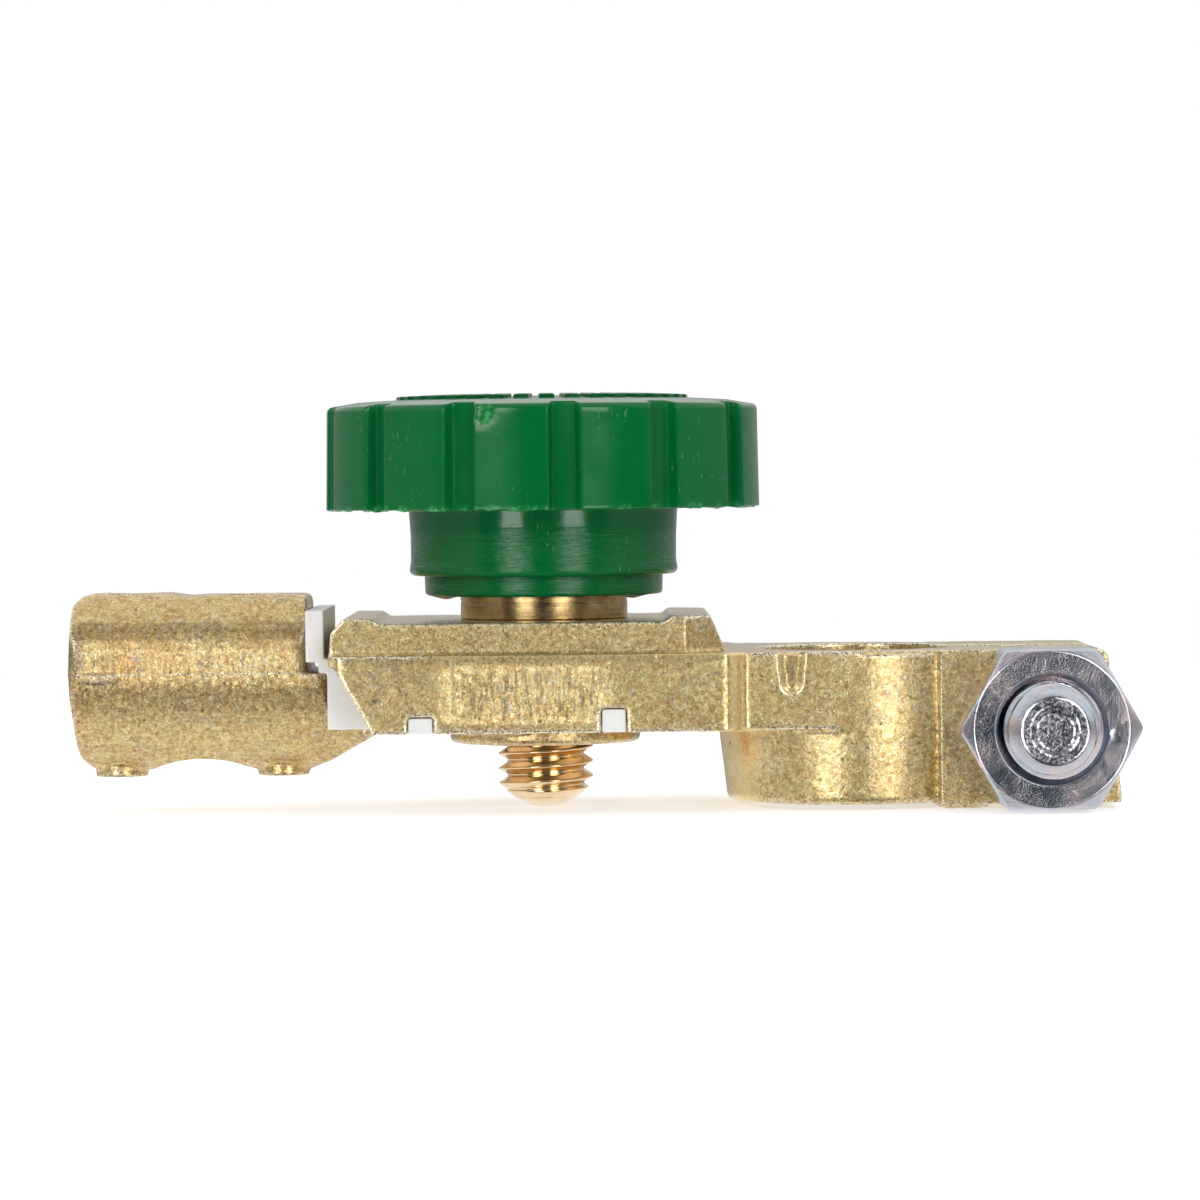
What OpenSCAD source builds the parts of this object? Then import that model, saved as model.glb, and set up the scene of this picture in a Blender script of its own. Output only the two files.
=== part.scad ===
// Screw-down isolator clamp for a battery post.
// A brass casting grips the post, and a second brass casting grips the cable. A nylon moulding
// keeps the two apart. The knob's stud is screwed into the cable casting, and its turned collar
// presses on the post casting, so the circuit is closed only while the knob is screwed down.
// Origin: the post bore's axis at the ring's underside. +X runs to the clamp bolt, +Z is up.

/* [Post ring and ears] */
// Radius of the straight bore that holds the battery post
post_r = 8; // [7.5:0.1:8.7]
// Outer radius of the ring at its top
ring_r = 11.5; // [11:0.1:12.5]
// Outer radius of the ring at its underside, smaller by the casting draft
ring_foot_r = 10.8; // [10.6:0.1:11]
// Height of the ring and the ears
ring_h = 12.7; // [12:0.1:14]
// Distance from the post's axis to the ends of the ears
ear_x = 21.4; // [20.5:0.1:23]
// Width across both ears
ear_w = 20.5; // [19:0.1:21]
// Width of the slit that closes when the bolt is tightened
slit_w = 3.2; // [2.5:0.1:4]

/* [Clamp bolt] */
// Distance from the post's axis to the bolt's axis
bolt_x = 15.1; // [14.8:0.1:15.5]
// Height of the bolt's axis
bolt_z = 6.4; // [6:0.1:7]
// Thread diameter of the bolt and its nut
bolt_d = 8; // [8:0.1:8]
// Length of the bolt under its head
bolt_len = 30; // [28:1:35]
// Width across the flats of the nut
nut_af = 13; // [13:0.1:13]
// Width across the flats of the bolt's head, which stays under the ears' top
head_af = 12; // [12:0.1:12]
// Height of the bolt's head
head_h = 5.3; // [5:0.1:5.6]
// Height of the nut
nut_h = 6.5; // [6:0.1:7]

/* [Block and contact plate] */
// Distance from the post's axis to the stud's axis
stud_x = 26; // [25.5:0.1:26.5]
// Width of the block
block_w = 26.4; // [26:0.1:28]
// Height of the block's underside
block_z = 6.3; // [6:0.1:6.5]
// Height of the ledge where the plate stands on the block
ledge_z = 12.75; // [12.7:0.05:12.9]
// Width of the contact plate
plate_w = 25; // [24:0.1:25.6]
// Height of the contact floor that the knob's collar presses on
floor_z = 15.35; // [15.2:0.05:15.5]
// Height of the raised lips at the floor's two ends
lip_z = 15.8; // [15.6:0.05:16]
// Width of the pocket that takes the insulator
pocket_w = 19; // [18.6:0.1:19.4]
// Height of the pocket's ceiling
pocket_z = 11.8; // [11.7:0.05:12]
// Radius of the stud's clearance hole in the plate
stud_hole_r = 5.4; // [5.3:0.05:5.6]

/* [Cable casting] */
// Half of the cable barrel's width
barrel_r = 7; // [6.8:0.05:7.4]
// Height of the barrel's top
barrel_top = 17.8; // [17.6:0.05:18]
// Height of the barrel's two feet
barrel_foot = 2.8; // [2.6:0.05:3]
// Radius of the cable bore
cable_r = 4; // [3.8:0.05:4.1]
// Height of the cable bore's axis, lower than the barrel's so that the screws get more thread
cable_z = 9.2; // [9.1:0.05:9.3]
// Depth of the blind cable bore
cable_depth = 17.6; // [17.5:0.1:18]
// Thread diameter of the two cable screws
grub_d = 6; // [6:0.1:6]
// Length of each cable screw
grub_len = 4; // [3.5:0.1:4]
// Width of the tongue that reaches under the plate
tongue_w = 16; // [15:0.1:16]

/* [Knob] */
// Radius over the knob's lobes
knob_r = 18.2; // [17:0.1:18.5]
// Number of lobes round the knob
lobes = 13; // [8:1:16]
// Width of each groove between two lobes
groove_w = 2.5; // [2:0.1:3]
// Depth of each groove
groove_d = 1.1; // [0.8:0.1:1.4]
// Angle of one lobe's middle, seen from above
lobe_turn = -97.5; // [-100:0.1:-90]
// Height of the lobes' lower edge
grip_z = 24.6; // [24:0.1:26]
// Height of the lobes' upper edge
rim_z = 33.1; // [32.5:0.1:33.5]
// Height of the middle of the slightly domed top
crown_z = 34; // [33.8:0.1:34.2]
// Radius of the neck under the lobes
neck_r = 11.3; // [11:0.1:12]
// Radius of the stepped ring at the bottom of the neck
step_r = 10; // [9.5:0.1:10.5]

/* [Stud and collar] */
// Thread diameter of the stud
stud_d = 8; // [8:0.1:8]
// Depth to which the stud's tip passes the ring's underside
stud_tip = 0.4; // [0.3:0.1:0.5]
// Radius of the turned collar that makes the contact
collar_r = 7; // [6.5:0.1:7.2]
// Height of the collar that shows under the knob
collar_h = 2; // [1.8:0.1:2.4]

/* [Hidden] */
$fn = 96;
fit = 0.05;                              // radial gap of threads and running fits
gap = 0.1;                               // gap between moulded and cast pieces
cut = 1;                                 // how far a cutter runs past a face
wall = 1.2;                              // wall of the insulator
block_x0 = -43.6;                        // left end of the block at the ledge
block_x1 = -10.1;                        // right end of the block
block_slant = 3.6;                       // how far the left end leans in at the underside
block_corner = 1.3;
barrel_x0 = -65.5;                       // open end of the cable barrel
barrel_x1 = -45.6;                       // closed end, above the parting line
shoulder_x = -43.9;                      // closed end, below the parting line
neck_x = -38;                            // where the neck ends inside the tongue
parting_z = 11.2;
arch_r = 9.9;                            // radius of the arched relief between the barrel's feet
disc_z0 = 4.95;                          // underside of the boss round the stud's thread
disc_z1 = 6.1;                           // underside of the tongue
tray_z = pocket_z - fit - wall;          // underside of the insulator's top
grub_x = [-60.5, -51.4];                 // places of the two cable screws
grub_top = cable_z + cable_r + fit + grub_len;
collar_top = floor_z + collar_h + 2.3;   // top of the collar, inside the knob
stud_head_z = [21, 27];                  // the stud's knurled head, moulded into the knob
notches = [[-37.1, -35, 7.7], [-21.3, -19.2, 8.3]];
pad_d = 4.4;                             // ejector pads left on the castings
pad_h = 0.4;

// The points of an arc about (x, y), from angle a0 to a1, for an outline.
function arc(x, y, r, a0, a1, n = 8) =
    [for (i = [0:n]) let (a = a0 + (a1 - a0) * i / n) [x + r * cos(a), y + r * sin(a)]];

// A plan outline drawn at z0 and raised by h.
module raised(z0, h) { translate([0, 0, z0]) linear_extrude(h) children(); }

// A side outline, drawn in X and Z, that spans the width w about the middle plane.
module across(w) { translate([0, w / 2, 0]) rotate([90, 0, 0]) linear_extrude(w) children(); }

// An upright rectangle from x0 to x1 and w wide, with round corners.
module rounded(x0, x1, w, r) {
    translate([x0 + r, -w / 2]) square([x1 - x0 - 2 * r, w]);
    translate([x0, -w / 2 + r]) square([x1 - x0, w - 2 * r]);
    for (x = [x0 + r, x1 - r], y = [-w / 2 + r, w / 2 - r]) translate([x, y]) circle(r);
}

// A small round pad that an ejector pin leaves, hanging under height z.
module pad(x, y, z) { translate([x, y, z - pad_h]) cylinder(d = pad_d, h = pad_h + cut); }

// A hexagon across the flats af, with two corners on the X axis.
module hexagon(af) { circle(r = af / 2 / cos(30), $fn = 6); }

// The ring round the post, with its draft and its rounded lower edge.
module post_ring() {
    rotate_extrude() polygon(concat([[0, 0]], arc(ring_foot_r - 0.6, 0.6, 0.6, -90, 0),
        [[ring_r, block_z], [ring_r, ring_h - 0.4], [ring_r - 0.4, ring_h], [0, ring_h]]));
}

// Both ears as one bar, with a drafted end and a rounded upper corner.
module ear_bar() {
    draft = 1;
    across(ear_w) polygon(concat([[6.5, 0], [ear_x, 0]],
        arc(ear_x - draft - 1, ring_h - 1, 1, 0, 90), [[6.5, ring_h]]));
}

// The web from the ring to the block, with a fillet in each corner.
module web() {
    fillet = 1;
    raised(block_z, ring_h - block_z) {
        translate([block_x1 - cut, -ring_r]) square([cut - block_x1, 2 * ring_r]);
        for (s = [-1, 1]) difference() {
            translate([block_x1 - cut, s > 0 ? ring_r - cut : -ring_r - fillet])
                square([cut + fillet, cut + fillet]);
            translate([block_x1 + fillet, s * (ring_r + fillet)]) circle(fillet);
        }
    }
}

// The block, whose left end leans in towards its underside.
module block() {
    difference() {
        raised(block_z, ledge_z - block_z) rounded(block_x0, block_x1, block_w, block_corner);
        across(block_w + 2 * cut) polygon([[block_x0 - cut, ledge_z], [block_x0, ledge_z],
            [block_x0 + block_slant, block_z], [block_x0 + block_slant, block_z - cut],
            [block_x0 - cut, block_z - cut]]);
    }
}

// The contact plate, with a lip at each end of its floor and two corners cut off.
module plate() {
    bevel = 3.3;
    right = -11;
    intersection() {
        across(plate_w) polygon([[block_x0, ledge_z - cut], [block_x0 + 0.25, 14.6],
            [block_x0 + 1.3, lip_z], [-40.05, lip_z], [-39.4, floor_z], [-16, floor_z],
            [-15.5, lip_z], [right - 1.3, lip_z], [right, ledge_z], [right, ledge_z - cut]]);
        raised(ledge_z - cut, 5) polygon([[block_x0, -plate_w / 2], [right - bevel, -plate_w / 2],
            [right, bevel - plate_w / 2], [right, plate_w / 2 - bevel],
            [right - bevel, plate_w / 2], [block_x0, plate_w / 2]]);
    }
}

// The pocket under the plate, open at its left end and round about the stud.
module pocket(w, z0, z1) {
    raised(z0, z1 - z0) {
        translate([block_x0 - 10, -w / 2]) square([10 - stud_x - block_x0, w]);
        translate([-stud_x, 0]) circle(d = w);
    }
}

module post_clamp() {
    color("darkgoldenrod") difference() {
        union() {
            post_ring();
            ear_bar();
            web();
            block();
            plate();
            for (s = [-1, 1]) pad(8.4, s * 7.9, 0);
        }
        translate([0, 0, -cut]) cylinder(r = post_r, h = ring_h + 2 * cut);
        translate([0, -slit_w / 2, -cut]) cube([ear_x + cut, slit_w, ring_h + 2 * cut]);
        translate([bolt_x, 0, bolt_z]) rotate([90, 0, 0])
            cylinder(d = bolt_d + 0.5, h = ear_w + 2 * cut, center = true);
        pocket(pocket_w, block_z - cut, pocket_z);
        translate([-stud_x, 0, pocket_z - cut]) cylinder(r = stud_hole_r, h = 5);
        for (n = notches) translate([n[0], -block_w / 2 - cut, block_z - cut])
            cube([n[1] - n[0], block_w + 2 * cut, n[2] - block_z + cut]);
        // a shallow tapered recess down each side of the web
        for (s = [-1, 1]) translate([-5.7, s * (ring_r + 0.1), 0]) across(1.3)
            polygon(concat([[-1.1, ring_h + cut]], arc(0, 10.1, 0.75, 190, 350, 8),
                [[1.1, ring_h + cut]]));
    }
}

// A point of the barrel's cross-section at angle a: a superellipse about the parting line that is
// fuller above it, and deeper and leaner below it. It rises a little above the barrel's top, which
// leaves a flat crown where the side view cuts it off.
function section_point(a) =
    let (up = a < 180, power = 2 / (up ? 2.4 : 1.65), crown = 0.45,
         depth = up ? barrel_top + crown - parting_z : parting_z - barrel_foot)
    [sign(cos(a)) * barrel_r * pow(abs(cos(a)), power),
     sign(sin(a)) * depth * pow(abs(sin(a)), power)];

// The barrel's cross-section, drawn in Y and Z and carried from x0 to x1.
module barrel_section(x0, x1) {
    steps = 48;
    translate([x0, 0, parting_z]) rotate([90, 0, 90]) linear_extrude(x1 - x0)
        polygon([for (i = [0:steps - 1]) section_point(360 * (i + 0.5) / steps)]);
}

// The barrel's plan: corners rounded at both ends down to skirt_z, and the narrower neck inside the
// insulator. Under the insulator the neck is as wide as the barrel.
module barrel_plan() {
    skirt_z = disc_z1 + 0.5;
    end_r = 1.3;
    raised(parting_z, 10) rounded(barrel_x0, barrel_x1, 2 * barrel_r, end_r);
    raised(skirt_z, parting_z - skirt_z) {
        rounded(barrel_x0, shoulder_x, 2 * barrel_r, end_r);
        translate([barrel_x1, end_r - barrel_r]) square([neck_x - barrel_x1, 2 * (barrel_r - end_r)]);
    }
    raised(0, skirt_z) rounded(barrel_x0, neck_x + 3, 2 * barrel_r, end_r);
}

// The barrel and its neck: one section, cut to the side view and to the plan. The open end is
// drafted both ways from the parting line, and the neck's underside rises to the tongue.
module barrel() {
    neck_top = tray_z - fit;
    intersection() {
        barrel_section(barrel_x0, neck_x);
        across(20) polygon(concat([[barrel_x0, parting_z]],
            arc(barrel_x0 + 1.9, barrel_top - 1.6, 1.6, 180, 90),
            [[-57.4, barrel_top], [-55.7, barrel_top - 0.25], [-54.3, barrel_top - 0.15]],
            arc(barrel_x1 - 0.6, barrel_top - 0.75, 0.6, 90, 0, 4),
            [[barrel_x1, parting_z], [shoulder_x, parting_z], [shoulder_x, neck_top],
            [neck_x, neck_top], [neck_x, disc_z1], [-40, 5.9], [-43.7, 3.75], [-45.4, 3],
            [-46.5, barrel_foot]],
            arc(-54.7, 3.9 - arch_r, arch_r, 65, 115, 10),
            arc(barrel_x0 + 2.9, barrel_foot + 2.4, 2.4, 270, 190)));
        barrel_plan();
    }
}

// The tongue under the plate and the boss under it.
module tongue() {
    edge = 0.5;
    raised(disc_z1, tray_z - fit - disc_z1) {
        translate([-41, -tongue_w / 2]) square([41 - stud_x, tongue_w]);
        translate([-stud_x, 0]) circle(d = tongue_w);
    }
    translate([-stud_x, 0, 0]) rotate_extrude() polygon(concat([[0, disc_z0]],
        arc(tongue_w / 2 - edge, disc_z0 + edge, edge, -90, 0),
        [[tongue_w / 2, disc_z1 + cut], [0, disc_z1 + cut]]));
}

module cable_terminal() {
    color("goldenrod") difference() {
        union() {
            barrel();
            tongue();
            pad(-61.6, 0, barrel_foot);
            pad(-48, 0, barrel_foot);
        }
        translate([barrel_x0 - cut, 0, cable_z]) rotate([0, 90, 0])
            cylinder(r = cable_r, h = cable_depth + cut);
        for (x = grub_x) translate([x, 0, cable_z]) cylinder(d = grub_d + 2 * fit, h = 10);
        translate([-stud_x, 0, 0]) cylinder(d = stud_d + 2 * fit, h = 15);
    }
}

module insulator() {
    tray_w = pocket_w - 2 * gap;
    lean = block_slant / (ledge_z - block_z);
    color("white") difference() {
        union() {
            intersection() {
                pocket(tray_w, block_z + 0.3, pocket_z - fit);
                translate([shoulder_x + gap, -tray_w, 0]) cube([40, 2 * tray_w, 20]);
            }
            // the upright wall between the barrel and the plate, and its foot
            translate([barrel_x1 + fit, -tray_w / 2, 12.15]) cube([1.5, tray_w, 4.25]);
            translate([-44.5, -tray_w / 2, parting_z + fit])
                cube([0.85, tray_w, 12.4 - parting_z - fit]);
            // the collar that keeps the stud clear of the plate
            translate([-stud_x, 0, tray_z]) cylinder(r = stud_hole_r - gap, h = 15.1 - tray_z);
            // lugs that fill the notches in the block's skirts
            for (n = notches) translate([n[0] + fit, -block_w / 2 + 0.3, block_z + 0.02])
                cube([n[1] - n[0] - gap, block_w - 0.6, n[2] - block_z - 0.02 - fit]);
        }
        translate([-60, -tongue_w / 2 - gap, 0]) cube([60 - stud_x, tongue_w + 2 * gap, tray_z]);
        translate([-stud_x, 0, 0]) cylinder(d = tongue_w + 2 * gap, h = tray_z);
        translate([-stud_x, 0, 0]) cylinder(d = stud_d + 0.6, h = 20);
    }
}

// The outline of the knob from its axis to its surface, without the grooves.
module knob_outline() {
    step_z = floor_z + collar_h;
    polygon(concat([[0, step_z], [step_r, step_z], [step_r, 19], [neck_r - 0.2, 19]],
        arc(neck_r - 0.4, 19.6, 0.6, -60, 0, 4), [[neck_r - 0.1, 21]],
        arc(neck_r + 0.9, grip_z - 1, 1, 180, 90, 5),
        arc(knob_r - 0.8, grip_z + 0.8, 0.8, -90, 0, 5),
        arc(knob_r - 1, rim_z - 0.8, 0.8, 0, 75, 6),
        [for (i = [4:-1:0]) let (r = (knob_r - 2) * i / 5) [r, crown_z - 0.6 * pow(i / 5, 2)]]));
}

module knob() {
    marks = 36;
    mark = [2.4, 1.25, 0.8];
    color("darkgreen") translate([-stud_x, 0, 0]) {
        difference() {
            rotate_extrude() knob_outline();
            for (i = [0:lobes - 1]) rotate(lobe_turn + (i + 0.5) * 360 / lobes)
                translate([knob_r - groove_d, -groove_w / 2, grip_z - cut]) cube([4, groove_w, 12]);
            translate([0, 0, 10]) cylinder(r = collar_r + fit, h = collar_top + fit - 10);
            translate([0, 0, 10]) cylinder(d = stud_d, h = stud_head_z[0] - 9);
            translate([0, 0, stud_head_z[0]])
                cylinder(r = collar_r, h = stud_head_z[1] - stud_head_z[0]);
        }
        // a plain ring of raised marks on the top
        for (i = [0:marks - 1]) rotate(i * 360 / marks)
            translate([9.8, -mark[1] / 2, crown_z - 0.5]) cube(mark);
        // two moulding nibs under the stepped ring
        for (p = [[-8.1, -3.4], [7.4, -4.8]]) translate([p[0], p[1], floor_z + collar_h - 0.3])
            cylinder(r = 0.8, h = 0.8);
    }
}

module contact_collar() {
    color("peru") translate([-stud_x, 0, 0]) difference() {
        translate([0, 0, floor_z]) cylinder(r = collar_r, h = collar_top - floor_z);
        cylinder(d = stud_d + 2 * fit, h = 40);
    }
}

module threaded_stud() {
    dome_r = 4.9;
    color("tan") translate([-stud_x, 0, 0]) {
        // the domed tip and the shank
        rotate_extrude() polygon(concat([[0, -stud_tip]],
            arc(0, dome_r - stud_tip, dome_r, -86, -49, 10),
            [[stud_d / 2, 1.7], [stud_d / 2, stud_head_z[1]], [0, stud_head_z[1]]]));
        translate([0, 0, stud_head_z[0]])
            cylinder(r = collar_r, h = stud_head_z[1] - stud_head_z[0]);
    }
}

// A hexagon prism across the flats af, whose far corners are bevelled, standing on z = 0.
module hex_prism(af, h) {
    bevel = 0.6;
    circle_r = af / 2 - 0.2;
    intersection() {
        linear_extrude(h) hexagon(af);
        rotate_extrude() polygon([[0, 0], [circle_r + 2, 0], [circle_r + 2, h - bevel * 2],
            [circle_r, h], [0, h]]);
    }
}

module clamp_bolt() {
    color("silver") translate([bolt_x, ear_w / 2, bolt_z]) {
        rotate([-90, 0, 0]) hex_prism(head_af, head_h);
        rotate([90, 0, 0]) rotate_extrude() polygon([[0, 0], [bolt_d / 2, 0],
            [bolt_d / 2, bolt_len - 1.4], [bolt_d / 2 - 1.4, bolt_len], [0, bolt_len]]);
    }
}

module clamp_nut() {
    color("silver") translate([bolt_x, -ear_w / 2, bolt_z]) rotate([90, 0, 0]) difference() {
        hex_prism(nut_af, nut_h);
        translate([0, 0, -cut]) cylinder(d = bolt_d + 2 * fit, h = nut_h + 2 * cut);
        translate([0, 0, nut_h - 0.55]) cylinder(r1 = bolt_d / 2, r2 = bolt_d / 2 + 0.6, h = 0.6);
    }
}

// A set screw with a hexagon socket, standing in its threaded hole at x.
module cable_screw(x) {
    color("silver") translate([x, 0, grub_top - grub_len]) difference() {
        rotate_extrude() polygon([[0, 0], [grub_d / 2 - 0.6, 0], [grub_d / 2, 0.6],
            [grub_d / 2, grub_len - 0.3], [grub_d / 2 - 0.3, grub_len], [0, grub_len]]);
        translate([0, 0, grub_len - 2.2]) linear_extrude(3) hexagon(3);
    }
}

module cable_screw_outer() { cable_screw(grub_x[0]); }
module cable_screw_inner() { cable_screw(grub_x[1]); }

post_clamp();
cable_terminal();
insulator();
knob();
contact_collar();
threaded_stud();
clamp_bolt();
clamp_nut();
cable_screw_outer();
cable_screw_inner();
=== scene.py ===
# %% [markdown]
# # A screw-down isolator clamp for a battery post
# Two brass castings, one that grips the post and one that grips the cable, are kept apart by a
# nylon moulding. A green knob drives a threaded stud, and its turned collar closes the circuit.
# The sizes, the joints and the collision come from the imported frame. This script gives each
# piece its finished surface, builds the finishes as shader nodes, and sets up a plain studio.

# %% Load the frame
import math
import bpy
import numpy as np
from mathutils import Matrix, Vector


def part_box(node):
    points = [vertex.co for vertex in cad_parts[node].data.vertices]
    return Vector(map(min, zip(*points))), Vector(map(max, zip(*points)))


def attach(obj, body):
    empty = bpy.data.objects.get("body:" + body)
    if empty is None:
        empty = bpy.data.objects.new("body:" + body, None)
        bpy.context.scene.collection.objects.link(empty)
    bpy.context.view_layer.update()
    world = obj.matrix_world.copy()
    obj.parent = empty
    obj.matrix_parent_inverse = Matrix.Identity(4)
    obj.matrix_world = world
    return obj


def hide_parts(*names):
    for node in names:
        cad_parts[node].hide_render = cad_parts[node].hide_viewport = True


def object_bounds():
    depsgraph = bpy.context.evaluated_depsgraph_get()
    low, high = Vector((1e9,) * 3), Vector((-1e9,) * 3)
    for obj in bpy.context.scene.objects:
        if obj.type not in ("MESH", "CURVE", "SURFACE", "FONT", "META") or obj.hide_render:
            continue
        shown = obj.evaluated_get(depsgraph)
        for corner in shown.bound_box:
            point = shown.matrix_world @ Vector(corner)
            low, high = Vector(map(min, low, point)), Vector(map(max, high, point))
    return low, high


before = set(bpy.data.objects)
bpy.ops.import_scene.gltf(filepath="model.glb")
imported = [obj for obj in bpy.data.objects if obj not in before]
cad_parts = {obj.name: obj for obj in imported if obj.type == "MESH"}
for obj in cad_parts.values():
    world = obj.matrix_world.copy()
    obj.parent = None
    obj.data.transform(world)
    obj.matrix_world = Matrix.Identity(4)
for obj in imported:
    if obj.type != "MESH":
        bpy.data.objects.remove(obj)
cad_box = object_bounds()
MM = 0.001

# %% [markdown]
# ## Where things are
# The frame gives each node's box. The stud's axis, the bolt's axis, the collar's radius and the
# heights at which the turned pieces begin and end come from those boxes, in millimetres, so that
# these need not be fitted by eye. The heights on the castings at which their skin changes are
# named here too, in the part's own frame, where Z is 0 at the ring's underside.

# %% Sizes from the frame
def box_mm(node):
    """A node's lowest and highest corner in millimetres, as two arrays."""
    low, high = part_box(node)
    return np.array(low) / MM, np.array(high) / MM

stud_low, stud_high = box_mm("threaded_stud")
collar_low, collar_high = box_mm("contact_collar")
bolt_low, bolt_high = box_mm("clamp_bolt")
nut_low, nut_high = box_mm("clamp_nut")
STUD_X = float(stud_low[0] + stud_high[0]) / 2
BOLT_X = float(bolt_low[0] + bolt_high[0]) / 2
BOLT_Z = float(bolt_low[2] + bolt_high[2]) / 2
COLLAR_R = float(collar_high[0] - collar_low[0]) / 2
THREAD_R = 4.0
PITCH = 1.25
PARTING_Z = 11.2
LEDGE_Z = 12.75
TOP_OF_WEB = 12.7
BLOCK_SIDE = 13.0
print("stud axis x", STUD_X, "bolt axis", BOLT_X, BOLT_Z)

# %% [markdown]
# ## Surfaces from grids
# Most pieces here are turned or moulded round an axis. Such a surface is a grid: its rows follow
# an outline, and its columns go round the axis. Whole arrays hold the grid, so a thread or a
# knob's grooves are one formula for the radius. The alternative, modelling by hand with bevels
# and booleans, can't give a true helix, so the grid was chosen.

# %% Grid helpers
def surface(name, grid, wrap_rows=False):
    """A closed mesh from grid[row, column] = (x, y, z) in millimetres.

    Columns go round and close on themselves. Rows either close too, as on a ring, or end in a
    fan of triangles about the mean of the first and of the last row.
    """
    rows, cols = grid.shape[:2]
    index = np.arange(rows * cols).reshape(rows, cols)
    lower = index if wrap_rows else index[:-1]
    upper = np.roll(index, -1, axis=0) if wrap_rows else index[1:]
    quads = np.stack([lower, np.roll(lower, -1, axis=1), np.roll(upper, -1, axis=1), upper], axis=-1)
    points = grid.reshape(-1, 3)
    corners, sizes = quads.reshape(-1), np.full(quads.size // 4, 4)
    if not wrap_rows:
        first, last = index[0], index[-1]
        start, end = rows * cols, rows * cols + 1
        points = np.vstack([points, grid[0].mean(axis=0), grid[-1].mean(axis=0)])
        fan_in = np.stack([np.full(cols, start), np.roll(first, -1), first], axis=-1)
        fan_out = np.stack([last, np.roll(last, -1), np.full(cols, end)], axis=-1)
        corners = np.concatenate([corners, fan_in.reshape(-1), fan_out.reshape(-1)])
        sizes = np.concatenate([sizes, np.full(2 * cols, 3)])
    mesh = bpy.data.meshes.new(name)
    mesh.vertices.add(len(points))
    mesh.vertices.foreach_set("co", (points * MM).astype(np.float32).reshape(-1))
    mesh.loops.add(len(corners))
    mesh.loops.foreach_set("vertex_index", corners.astype(np.int32))
    mesh.polygons.add(len(sizes))
    mesh.polygons.foreach_set("loop_start", (np.cumsum(sizes) - sizes).astype(np.int32))
    mesh.update(calc_edges=True)
    mesh.validate()
    mesh.shade_smooth()
    piece = bpy.data.objects.new(name, mesh)
    bpy.context.collection.objects.link(piece)
    print(name, len(points), "points,", int((sizes - 2).sum()), "triangles")
    return piece


def rounded_path(corners, radii, step=0.12, arc_steps=5):
    """An outline through corners (radius, height) with each corner rounded by its own radius.

    Each corner is replaced by the arc that touches both of its sides, and straight stretches
    are filled with points about a step apart.
    """
    corners = np.array(corners, float)
    path = [corners[:1]]
    for i in range(1, len(corners) - 1):
        before, at, after = corners[i - 1], corners[i], corners[i + 1]
        a = (before - at) / np.linalg.norm(before - at)
        b = (after - at) / np.linalg.norm(after - at)
        half = math.acos(np.clip(a @ b, -1, 1)) / 2
        reach = min(radii[i] / math.tan(half), 0.49 * np.linalg.norm(before - at),
                    0.49 * np.linalg.norm(after - at))
        centre = at + (a + b) / np.linalg.norm(a + b) * reach / math.cos(half)
        turn = np.linspace(0, 1, arc_steps + 1)[:, None]
        chord = (at + a * reach) * (1 - turn) + (at + b * reach) * turn - centre
        radius = reach * math.tan(half)
        path.append(centre + chord / np.linalg.norm(chord, axis=1)[:, None] * radius)
    path.append(corners[-1:])
    path = np.vstack(path)
    spans = [np.linspace(p, q, max(1, int(np.linalg.norm(q - p) / step)), endpoint=False)
             for p, q in zip(path[:-1], path[1:])]
    return np.vstack(spans + [path[-1:]])


def angles(count):
    """The columns' angles: count equal steps round a circle."""
    return np.arange(count) * 2 * np.pi / count


def all_round(values, columns):
    """A column of values, the same at each of the given number of columns."""
    return np.broadcast_to(values, (len(values), columns))


def round_grid(radius, height, theta):
    """The grid (r cos t, r sin t, z) for radius and height given at each row and column."""
    return np.stack(np.broadcast_arrays(radius * np.cos(theta), radius * np.sin(theta),
                                        height), axis=-1)


def thread_radius(theta, height, major, pitch, fade=1.0, start=0.0):
    """The radius of a right-hand 60 degree thread.

    The phase is (height + start) / pitch - turn. Its distance from the middle of the groove rises
    in a straight flank from the root to the crest, and both are cut flat.
    """
    phase = ((height + start) / pitch - theta / (2 * np.pi)) % 1.0
    flank = np.clip((np.abs(2 * phase - 1) - 0.14) / 0.78, 0, 1)
    return major - 0.61 * pitch * (1 - flank) * fade


def smooth_step(value):
    """An S curve: 0 below 0, 1 above 1, and 3v^2 - 2v^3 between them."""
    value = np.clip(value, 0, 1)
    return value * value * (3 - 2 * value)


def lattice_noise(points, cell, seed):
    """Smooth noise in -1..1: random values on a cubic lattice of the given cell size, blended
    between the eight nearest ones with an S curve."""
    table = np.random.default_rng(seed).uniform(-1, 1, (32, 32, 32))
    scaled = points / cell
    base = np.floor(scaled).astype(int)
    part = scaled - base
    part = part * part * (3 - 2 * part)
    value = np.zeros(len(points))
    for corner in np.ndindex(2, 2, 2):
        weight = np.prod(np.where(corner, part, 1 - part), axis=1)
        at = (base + corner) % 32
        value += weight * table[at[:, 0], at[:, 1], at[:, 2]]
    return value

# %% [markdown]
# ## Shared shader effects
# Several finishes need the same small effects: a fine mottle, dark pits, thin veins and strokes.
# Wiring nodes takes many lines, so a few helpers place a node, feed it and give back its output.
# They could be drawn by hand in the shader editor too, but then nobody could read how they were
# made.

# %% Node helpers
def new_group(name, inputs):
    """An empty shader node group with float inputs {name: default} and one output, its mask."""
    group = bpy.data.node_groups.new(name, "ShaderNodeTree")
    for key, value in inputs.items():
        socket = group.interface.new_socket(key, in_out="INPUT", socket_type="NodeSocketFloat")
        socket.default_value = value
    group.interface.new_socket("Mask", in_out="OUTPUT", socket_type="NodeSocketFloat")
    return group, group.nodes.new("NodeGroupInput"), group.nodes.new("NodeGroupOutput")


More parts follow.
